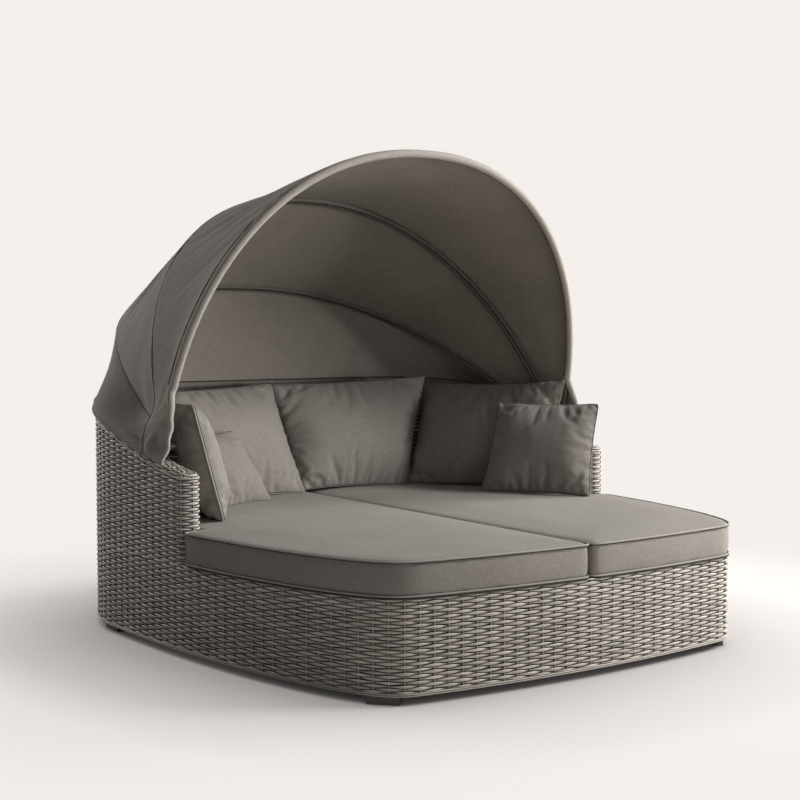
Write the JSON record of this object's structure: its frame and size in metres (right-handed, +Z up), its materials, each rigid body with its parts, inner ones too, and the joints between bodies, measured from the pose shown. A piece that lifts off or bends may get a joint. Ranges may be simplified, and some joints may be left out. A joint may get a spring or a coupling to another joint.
{
  "type": "outdoor daybed with canopy",
  "caption": "Round-cornered woven outdoor daybed with seat cushions, scatter pillows and a folding fabric canopy on hinged bows.",
  "frame": {"origin": "on the ground under the middle of the overall bounding box", "axes": "+X to the right as seen from the open front, +Y towards the back, +Z up"},
  "size_m": [1.8132, 2.204, 1.6118],
  "materials": {
    "wicker": "woven flat strands, satin",
    "frame": "powder coated, satin",
    "slat": "powder coated, satin",
    "foot": "matt",
    "cushion": "woven outdoor fabric, matt",
    "pillow": "woven outdoor fabric, matt",
    "canopy": "woven outdoor fabric, matt",
    "bow": "powder coated, satin",
    "steel": "plain"
  },
  "bodies": {
    "daybed": {"base_wicker": "wicker", "back_wicker": "wicker", "floor_rail": "frame", "seat_rail": "frame", "wall_rail": "frame", "foot_front_left": "foot", "base_post_front_left": "frame", "foot_front_right": "foot", "base_post_front_right": "frame", "foot_left": "foot", "base_post_left": "frame", "foot_right": "foot", "base_post_right": "frame", "foot_rear_left": "foot", "base_post_rear_left": "frame", "foot_rear_right": "foot", "base_post_rear_right": "frame", "wall_post_left_arm": "frame", "wall_post_left": "frame", "wall_post_middle": "frame", "wall_post_right": "frame", "wall_post_right_arm": "frame", "bearer_left": "frame", "bearer_right": "frame", "slat_1": "slat", "slat_2": "slat", "slat_3": "slat", "slat_4": "slat", "slat_5": "slat", "slat_6": "slat", "slat_7": "slat", "slat_8": "slat", "seat_cushion_left": "cushion", "seat_cushion_right": "cushion", "back_pillow_left": "pillow", "back_pillow_middle": "pillow", "back_pillow_right": "pillow", "side_pillow_left": "pillow", "small_pillow_left": "pillow", "side_pillow_right": "pillow", "rim_bow": "bow", "pivot_bracket_right": "frame", "pivot_bracket_left": "frame", "pivot_bolt_right": "steel", "pivot_bolt_left": "steel", "pivot_nut_right": "steel", "pivot_nut_left": "steel", "rim_clip_left": "frame", "rim_clip_rear_left": "frame", "rim_clip_middle": "frame", "rim_clip_rear_right": "frame", "rim_clip_right": "frame", "canopy_rear": "canopy"},
    "third_bow": {"third_bow": "bow"},
    "second_bow": {"second_bow": "bow", "canopy_middle": "canopy"},
    "front_bow": {"front_bow": "bow", "canopy_front": "canopy"}
  },
  "joints": [
    {"name": "third_bow_hinge", "type": "hinge", "parent": "daybed", "child": "third_bow", "pos_m": [0, -0.00105, 0.64235], "axis": [-1, 0, 0], "range_deg": [0, 11.4], "deforming": ["canopy_rear"]},
    {"name": "second_bow_hinge", "type": "hinge", "parent": "third_bow", "child": "second_bow", "pos_m": [0, -0.00105, 0.64235], "axis": [-1, 0, 0], "range_deg": [0, 29], "deforming": ["canopy_middle"]},
    {"name": "front_bow_hinge", "type": "hinge", "parent": "second_bow", "child": "front_bow", "pos_m": [0, -0.00105, 0.64235], "axis": [-1, 0, 0], "range_deg": [0, 44.8], "deforming": ["canopy_front"]}
  ]
}
